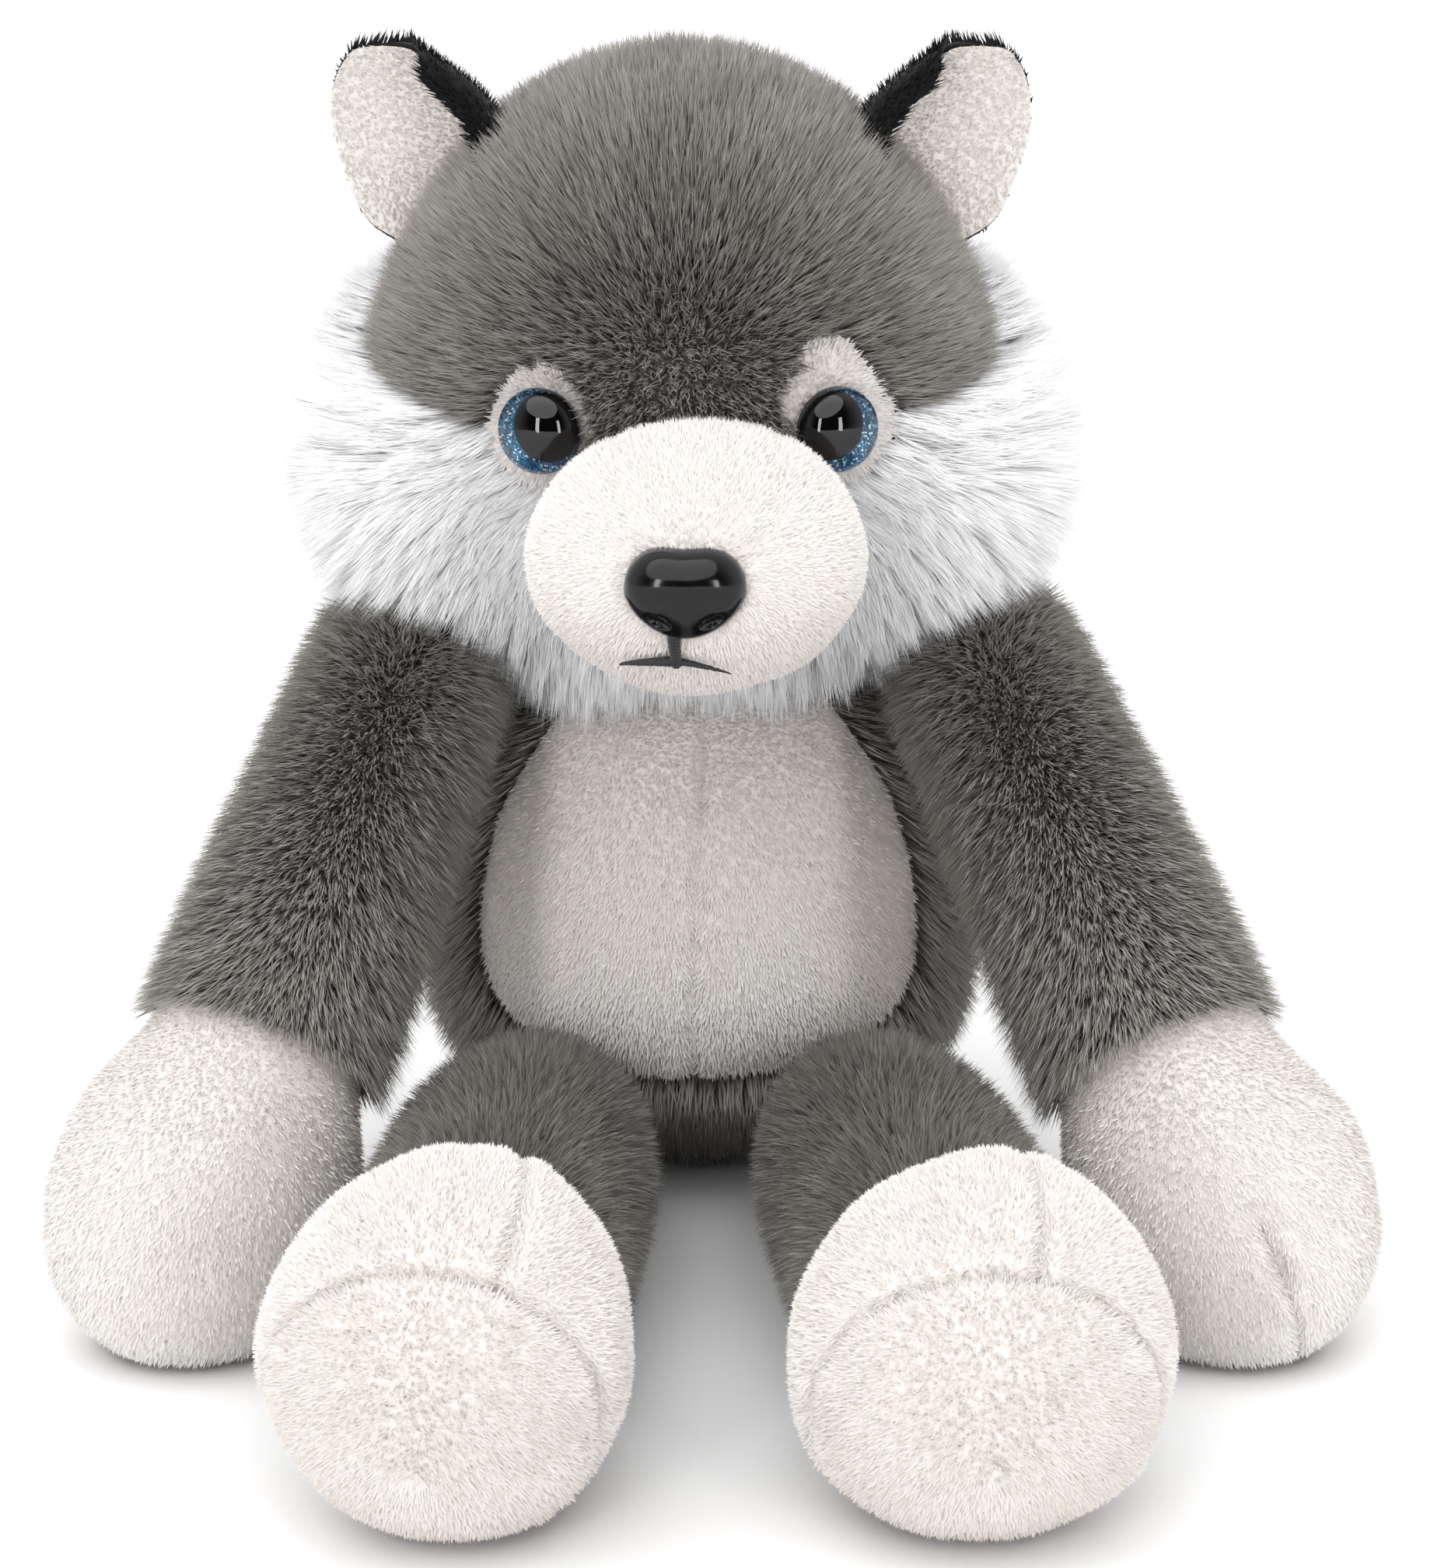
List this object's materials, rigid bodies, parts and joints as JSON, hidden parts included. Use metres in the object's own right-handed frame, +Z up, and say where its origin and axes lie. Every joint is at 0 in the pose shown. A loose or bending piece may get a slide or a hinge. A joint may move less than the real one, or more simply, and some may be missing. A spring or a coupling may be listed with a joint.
{
  "type": "plush husky",
  "caption": "Seated plush husky with long grey pile, white cheeks, muzzle, belly, paws and feet, upright ears, domed safety eyes and a moulded nose",
  "frame": {"origin": "middle of the seat, on the floor under the front of the body", "axes": "-Y out of the face, +X to the toy's own left, +Z up"},
  "size_m": [0.2422, 0.31, 0.23],
  "materials": {
    "grey_pile": "long soft grey pile",
    "white_long_pile": "long fluffy white pile",
    "white_short_pile": "short velvety white pile",
    "black_short_pile": "short black pile",
    "black_plastic": "gloss moulded plastic",
    "clear_plastic": "clear polished dome",
    "blue_glitter": "blue glitter ring round a black pupil",
    "black_thread": "embroidery thread",
    "washer_plastic": "natural moulded plastic",
    "fibre_fill": "polyester fibre filling"
  },
  "bodies": {
    "root": {"arm_left": "grey_pile", "arm_right": "grey_pile", "arm_stuffing_left": "fibre_fill", "arm_stuffing_right": "fibre_fill", "belly_left": "white_short_pile", "belly_right": "white_short_pile", "body_back_left": "grey_pile", "body_back_right": "grey_pile", "body_stuffing": "fibre_fill", "brow_patch_left": "white_short_pile", "brow_patch_right": "white_short_pile", "cheek_left": "white_long_pile", "cheek_right": "white_long_pile", "ear_back_left": "black_short_pile", "ear_back_right": "black_short_pile", "ear_lining_left": "white_short_pile", "ear_lining_right": "white_short_pile", "eye_left": "clear_plastic", "eye_right": "clear_plastic", "eye_washer_left": "washer_plastic", "eye_washer_right": "washer_plastic", "foot_inner_left": "white_short_pile", "foot_inner_right": "white_short_pile", "foot_outer_left": "white_short_pile", "foot_outer_right": "white_short_pile", "foot_stuffing_left": "fibre_fill", "foot_stuffing_right": "fibre_fill", "head_back": "grey_pile", "head_crown": "grey_pile", "head_stuffing": "fibre_fill", "iris_left": "blue_glitter", "iris_right": "blue_glitter", "leg_left": "grey_pile", "leg_right": "grey_pile", "leg_stuffing_left": "fibre_fill", "leg_stuffing_right": "fibre_fill", "mouth_stitches": "black_thread", "muzzle_side_left": "white_short_pile", "muzzle_side_right": "white_short_pile", "muzzle_stuffing": "fibre_fill", "muzzle_top": "white_short_pile", "nose": "black_plastic", "nose_washer": "washer_plastic", "paw_left": "white_short_pile", "paw_right": "white_short_pile", "sole_left": "white_short_pile", "sole_right": "white_short_pile", "tail": "grey_pile", "tail_stuffing": "fibre_fill"}
  },
  "joints": []
}
